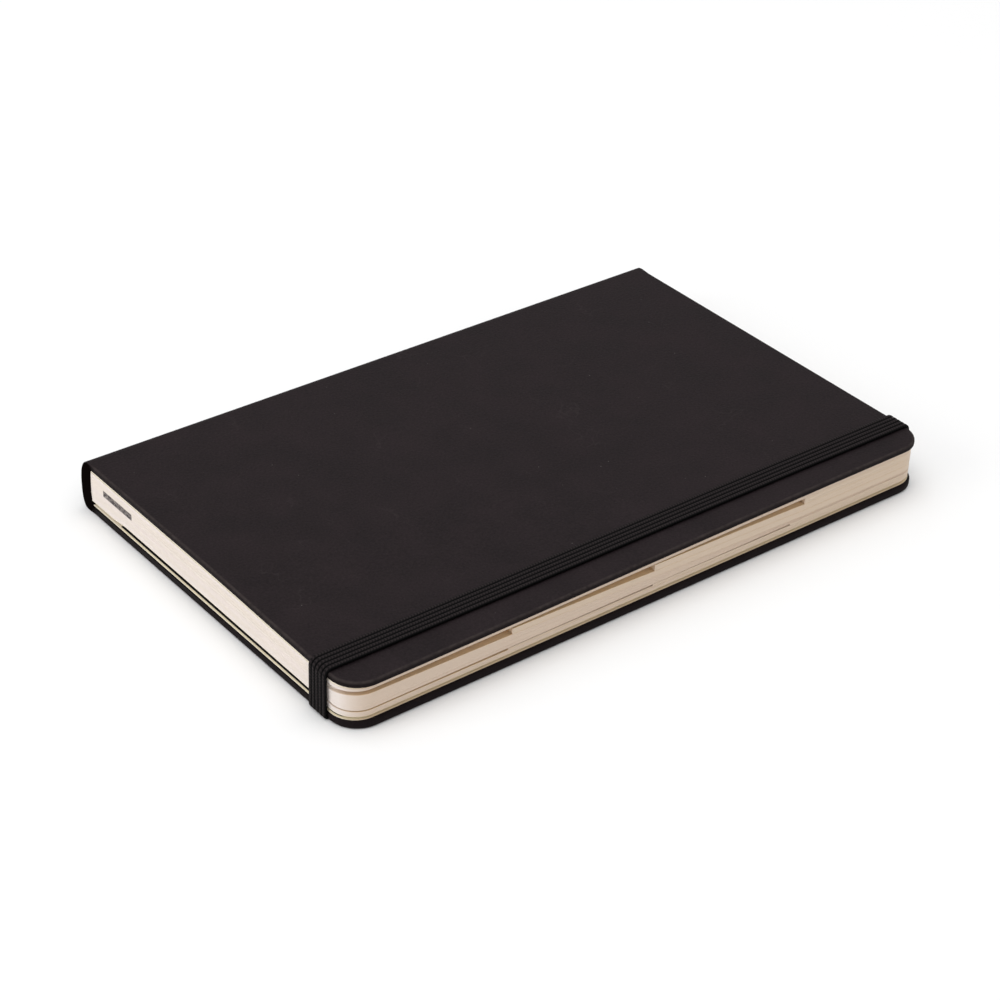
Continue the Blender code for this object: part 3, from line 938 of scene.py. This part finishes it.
def pocket_card():
    """Cream card with a faint fleck."""
    paint = Paint("pocket_card_cream", 0.75, 0.2)
    cloud = paint.noise(0.12, 3.0)
    fibre = paint.noise(4.0, 3.0, paint.stretch(1.0, 0.4, 1.0))
    flecks = paint.shift(paint.cells(1.3), 0.05, 0.09, 1.0, 0.0)
    tone = paint.blend(paint.shift(cloud, 0.3, 0.7), (0.74, 0.66, 0.48), (0.68, 0.59, 0.41))
    tone = paint.blend(paint.sum("MULTIPLY", fibre, 0.35), tone, (0.60, 0.51, 0.35))
    paint.colour(paint.blend(paint.sum("MULTIPLY", flecks, 0.5), tone, (0.42, 0.34, 0.22)))
    paint.relief((fibre, 0.012 * MM, 0.3))
    return paint.material


def woven(name, first, second, pitch, colours, roughness, gap=0.0, rest=True):
    """Plain-woven cloth whose threads run along two of the axes."""
    paint = Paint(name, roughness, 0.15, rest)
    warp = paint.wave(paint.axes[first], pitch)
    weft = paint.wave(paint.axes[second], pitch, math.pi / 2)
    over = paint.wave(paint.sum("ADD", paint.axes[first], paint.axes[second]), 2.0 * pitch)
    threads = paint.add("ShaderNodeMix", {0: over, 2: warp, 3: weft}).outputs[0]
    slub = paint.noise(1.6, 3.0, paint.stretch(1.0, 0.3, 1.0))
    share = paint.sum("ADD", paint.sum("MULTIPLY", threads, 0.7), paint.sum("MULTIPLY", slub, 0.3))
    tone = paint.blend(paint.shift(share, 0.2 + gap, 0.85), *colours)
    paint.colour(tone)
    paint.relief((threads, 0.05 * MM, 0.7), (slub, 0.02 * MM, 0.4))
    return paint.material


def greyboard():
    """Grey-brown millboard with short fibres and flecks."""
    paint = Paint("greyboard_fibrous", 0.9, 0.15, rest=False)
    fibre = paint.noise(2.2, 4.0, paint.stretch(1.0, 0.35, 1.6))
    flecks = paint.shift(paint.cells(0.9), 0.06, 0.12, 1.0, 0.0)
    tone = paint.blend(paint.shift(fibre, 0.3, 0.7), (0.20, 0.175, 0.145), (0.36, 0.325, 0.28))
    paint.colour(paint.blend(paint.sum("MULTIPLY", flecks, 0.6), tone, (0.11, 0.09, 0.075)))
    paint.relief((fibre, 0.05 * MM, 0.5))
    return paint.material


def sewing_thread():
    """Twisted off-white thread."""
    paint = Paint("sewing_thread_twisted", 0.7, 0.25, rest=False)
    lean = paint.sum("ADD", paint.axes[2], paint.sum("MULTIPLY", paint.axes[1], 1.4))
    twist = paint.wave(paint.sum("ADD", lean, paint.axes[0]), 0.32)
    fuzz = paint.noise(9.0, 2.0)
    share = paint.sum("ADD", paint.sum("MULTIPLY", twist, 0.7), paint.sum("MULTIPLY", fuzz, 0.3))
    paint.colour(paint.blend(paint.shift(share, 0.2, 0.8), (0.52, 0.49, 0.42), (0.86, 0.84, 0.78)))
    paint.relief((twist, 0.06 * MM, 0.8))
    return paint.material


def elastic():
    """Black woven elastic: ribs of short slanted stitches with painted shade darkening the grooves
    between them.
    """
    paint = Paint("elastic_ribbed", 0.55, 0.06)
    groove = paint.mark("groove")
    slant = paint.sum("MULTIPLY", groove, 0.32)
    stitches = paint.wave(paint.sum("ADD", paint.mark("length"), slant), 0.62)
    fuzz = paint.noise(6.0, 3.0)
    share = paint.sum("ADD", paint.sum("MULTIPLY", stitches, 0.6), paint.sum("MULTIPLY", fuzz, 0.4))
    tone = paint.blend(paint.shift(share, 0.25, 0.8), (0.0060, 0.0045, 0.0048), (0.0240, 0.0185, 0.0190))
    # Painted shade: the grooves between the ribs are darkened to near black.
    groove_shade = paint.shift(groove, 0.4, 0.78)
    paint.colour(paint.blend(groove_shade, tone, (0.0010, 0.0010, 0.0012)))
    paint.roughness(paint.shift(fuzz, 0.3, 0.7, 0.5, 0.72))
    paint.relief((stitches, 0.07 * MM, 0.6), (fuzz, 0.02 * MM, 0.4))
    return paint.material


# ---- scene


def build_camera():
    """The camera at the photographed angle, slightly rolled."""
    azimuth, elevation, roll = math.radians(50.912), math.radians(33.043), math.radians(2.155)
    back = Vector((
        math.sin(azimuth) * math.cos(elevation),
        -math.cos(azimuth) * math.cos(elevation),
        math.sin(elevation),
    ))
    camera_data = bpy.data.cameras.new("camera")
    camera_data.lens = 92.29
    camera_data.sensor_width = 36.0
    camera = bpy.data.objects.new("camera", camera_data)
    bpy.context.scene.collection.objects.link(camera)
    camera.rotation_mode = "QUATERNION"
    turn = (-back).to_track_quat("-Z", "Y")
    camera.rotation_quaternion = turn @ Matrix.Rotation(roll, 3, "Z").to_quaternion()
    camera.location = (329.367 * MM, -269.552 * MM, 275.421 * MM)
    camera_data.clip_start = 0.01
    camera_data.clip_end = 20.0
    bpy.context.scene.camera = camera


def area_light(name, place, target, size, power, colour):
    """A soft square light at a place, turned to a target."""
    light_data = bpy.data.lights.new(name, "AREA")
    light_data.shape = "SQUARE"
    light_data.size = size
    light_data.energy = power
    light_data.color = colour
    light = bpy.data.objects.new(name, light_data)
    bpy.context.scene.collection.objects.link(light)
    light.location = place
    light.rotation_mode = "QUATERNION"
    light.rotation_quaternion = (Vector(target) - Vector(place)).to_track_quat("-Z", "Y")


def build_studio():
    """Pale floor under an even dome, dim at the horizon, with soft lights above and at the tail."""
    world = bpy.data.worlds.new("studio")
    bpy.context.scene.world = world
    world.use_nodes = True
    nodes, links = world.node_tree.nodes, world.node_tree.links
    sky = nodes.new("ShaderNodeTexCoord")
    split = nodes.new("ShaderNodeSeparateXYZ")
    height = nodes.new("ShaderNodeMapRange")
    height.inputs["From Min"].default_value = 0.15
    height.inputs["From Max"].default_value = 0.95
    height.inputs["To Min"].default_value = 0.50
    height.inputs["To Max"].default_value = 1.0
    links.new(sky.outputs["Generated"], split.inputs["Vector"])
    links.new(split.outputs["Z"], height.inputs["Value"])
    links.new(height.outputs["Result"], nodes["Background"].inputs["Strength"])
    nodes["Background"].inputs["Color"].default_value = (1.0, 1.0, 1.0, 1.0)
    area_light("overhead", (-0.1, -0.1, 1.3), (0.0, 0.0, 0.0), 1.1, 5.0, (1.0, 1.0, 1.0))
    area_light("tail_fill", (-0.25, -1.1, 0.45), (0.0, 0.0, 0.0), 0.7, 3.3, (0.98, 0.99, 1.0))
    floor_mesh = bpy.data.meshes.new("floor")
    half = 3.0
    corners = [(-half, -half, 0), (half, -half, 0), (half, half, 0), (-half, half, 0)]
    floor_mesh.from_pydata(corners, [], [(0, 1, 2, 3)])
    floor = bpy.data.objects.new("floor", floor_mesh)
    bpy.context.scene.collection.objects.link(floor)
    material = bpy.data.materials.new("floor_paint")
    material.use_nodes = True
    shader = material.node_tree.nodes["Principled BSDF"]
    shader.inputs["Base Color"].default_value = (0.92, 0.92, 0.92, 1.0)
    shader.inputs["Roughness"].default_value = 0.9
    shader.inputs["Specular IOR Level"].default_value = 0.1
    floor_mesh.materials.append(material)
    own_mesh(floor)
    bpy.context.scene.view_settings.view_transform = "Standard"


def build_materials():
    """Every material, under the name of the record's slot that it serves."""
    black = ((0.004, 0.004, 0.004), (0.016, 0.015, 0.015))
    gauze = ((0.30, 0.28, 0.24), (0.72, 0.69, 0.62))
    return {
        "leatherette": leatherette(),
        "greyboard": greyboard(),
        # The endpaper is coloured lighter and yellower than the page paper as painted light, brightening
        # its edges in the shade under the cover.
        "endpaper": paper("endpaper_ivory", (0.92, 0.84, 0.70), (0.84, 0.75, 0.60), 0.3),
        "page_paper": paper("page_paper_ivory", (0.82, 0.74, 0.69), (0.78, 0.695, 0.635), 0.25, True),
        "index_paper": paper("index_paper_ivory", (0.82, 0.74, 0.67), (0.76, 0.67, 0.585), 0.25, True),
        "pocket_card": pocket_card(),
        "black_cloth": woven("black_cloth_woven", 0, 1, 0.34, black, 0.85),
        "lining_cloth": woven("lining_cloth_gauze", 1, 2, 0.9, gauze, 0.9, 0.1, False),
        "sewing_thread": sewing_thread(),
        "elastic": elastic(),
    }


def build_covers(materials, cutters):
    """The covering in two halves that meet down the middle of the spine, and the boards in it."""
    cut = cut_by(cutters)
    front = covering_piece("front_cover_skin", True, materials["leatherette"])
    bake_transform(front)
    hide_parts("front_covering", "spine_covering")
    rear = covering_piece("rear_cover_skin", False, materials["leatherette"], cut)
    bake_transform(rear)
    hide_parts("rear_covering")
    inset = SKIN + SKIN_FIT
    outline = (HALF_LENGTH - inset, FORE_X - inset, CORNER_RADIUS - inset)
    rng = np.random.default_rng(11)
    for side, body, is_front in (("front", "front_cover", True), ("rear", "rear_cover", False)):
        piece = layer_piece(
            f"{side}_board_core",
            lambda x, y, f=is_front: board_span(f, x, y),
            outline,
            materials["greyboard"],
            rng,
            spine_x=FRONT_HINGE.x + BOARD_START,
            modify=None if is_front else cut,
        )
        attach(piece, body)
        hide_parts(f"{side}_board")


def build_leaves(materials):
    """The leaves and endpapers, one piece for each group: the pastedowns and the turning groups stay
    where they are built, and the rest go with the book block.
    """
    rng = np.random.default_rng(7)
    outline = (LEAF_HIGH.y, LEAF_HIGH.x, LEAF_CORNER)
    steps = {f"index_leaves_{number + 1}": y for number, y in enumerate(UPPER_STEPS + LOWER_STEPS)}
    turning = {
        "front_flyleaf": "turning_flyleaf",
        "upper_leaves": "turning_upper_leaves",
        "index_leaves_1": "turning_index_1",
        "index_leaves_2": "turning_index_2",
        "index_leaves_3": "turning_index_3",
    }
    for name in reversed(LAYERS):
        if name.startswith("pocket"):
            continue
        slot = "page_paper"
        if name in steps:
            slot = "index_paper"
        elif "flyleaf" in name or "pastedown" in name:
            slot = "endpaper"
        piece = layer_piece(
            f"{name}_sheet" if slot == "endpaper" else f"{name}_stack",
            lambda x, y, n=name: layer_span(n, x, y),
            outline,
            materials[slot],
            rng,
            steps.get(name),
        )
        if name == "front_pastedown":
            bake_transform(piece)
        elif name == "rear_pastedown":
            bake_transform(piece)
        elif name in turning:
            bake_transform(piece)
        else:
            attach(piece, "book_block")
        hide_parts(name)


def build_pocket(materials):
    """The rear pocket: its back, its hinged panel and the folded cloth at its two ends."""
    rng = np.random.default_rng(3)
    bodies = {"pocket_backing": "rear_cover", "pocket_panel": "pocket_flap"}
    lengths = {"pocket_backing": LEAF_HIGH.y, "pocket_panel": LEAF_HIGH.y - 0.4 * MM}
    for name, body in bodies.items():
        piece = layer_piece(
            f"{name}_card",
            lambda x, y, n=name: layer_span(n, x, y),
            (lengths[name], POCKET_HIGH.x, POCKET_CORNER),
            materials["pocket_card"],
            rng,
            spine_x=POCKET_LOW.x,
        )
        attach(piece, body)
        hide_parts(name)
    for end, end_name in ((-1.0, "tail"), (1.0, "head")):
        piece = gusset_piece(f"gusset_cloth_{end_name}", end, materials["black_cloth"])
        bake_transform(piece)
        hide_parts(f"pocket_gusset_{end_name}")


def build_band(materials):
    """The elastic band: its run over the cover, its two legs and its glued ends."""
    piece = ribbon_piece("band_run", band_run_path(), materials["elastic"])
    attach(piece, "elastic_band")
    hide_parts("band_front")
    for end, end_name in ((-1.0, "tail"), (1.0, "head")):
        path = band_leg_path(end)
        leg = ribbon_piece(f"band_side_{end_name}", path, materials["elastic"])
        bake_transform(leg)
        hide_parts(f"band_leg_{end_name}")
        tab = ribbon_piece(f"band_end_{end_name}", band_anchor_path(end), materials["elastic"])
        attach(tab, "rear_cover")
        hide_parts(f"band_anchor_{end_name}")


def repaint_nodes(materials):
    """Gives the CAD nodes that stay in view the detailed material of their slot."""
    slots = {"spine_strip": "greyboard", "spine_lining": "lining_cloth"}
    for name in frame["nodes"]:
        if name.startswith("sewing_thread"):
            slots[name] = "sewing_thread"
    for name, slot in slots.items():
        for material_slot in frame["nodes"][name].material_slots:
            material_slot.material = materials[slot]


def main():
    """Builds the scene around the frame."""
    build_camera()
    build_studio()
    materials = build_materials()
    cutters = channel_cutters(materials["leatherette"])
    build_covers(materials, cutters)
    for cutter in cutters:
        bpy.data.objects.remove(cutter, do_unlink=True)
    build_leaves(materials)
    build_pocket(materials)
    build_band(materials)
    repaint_nodes(materials)
    bpy.context.view_layer.update()


main()
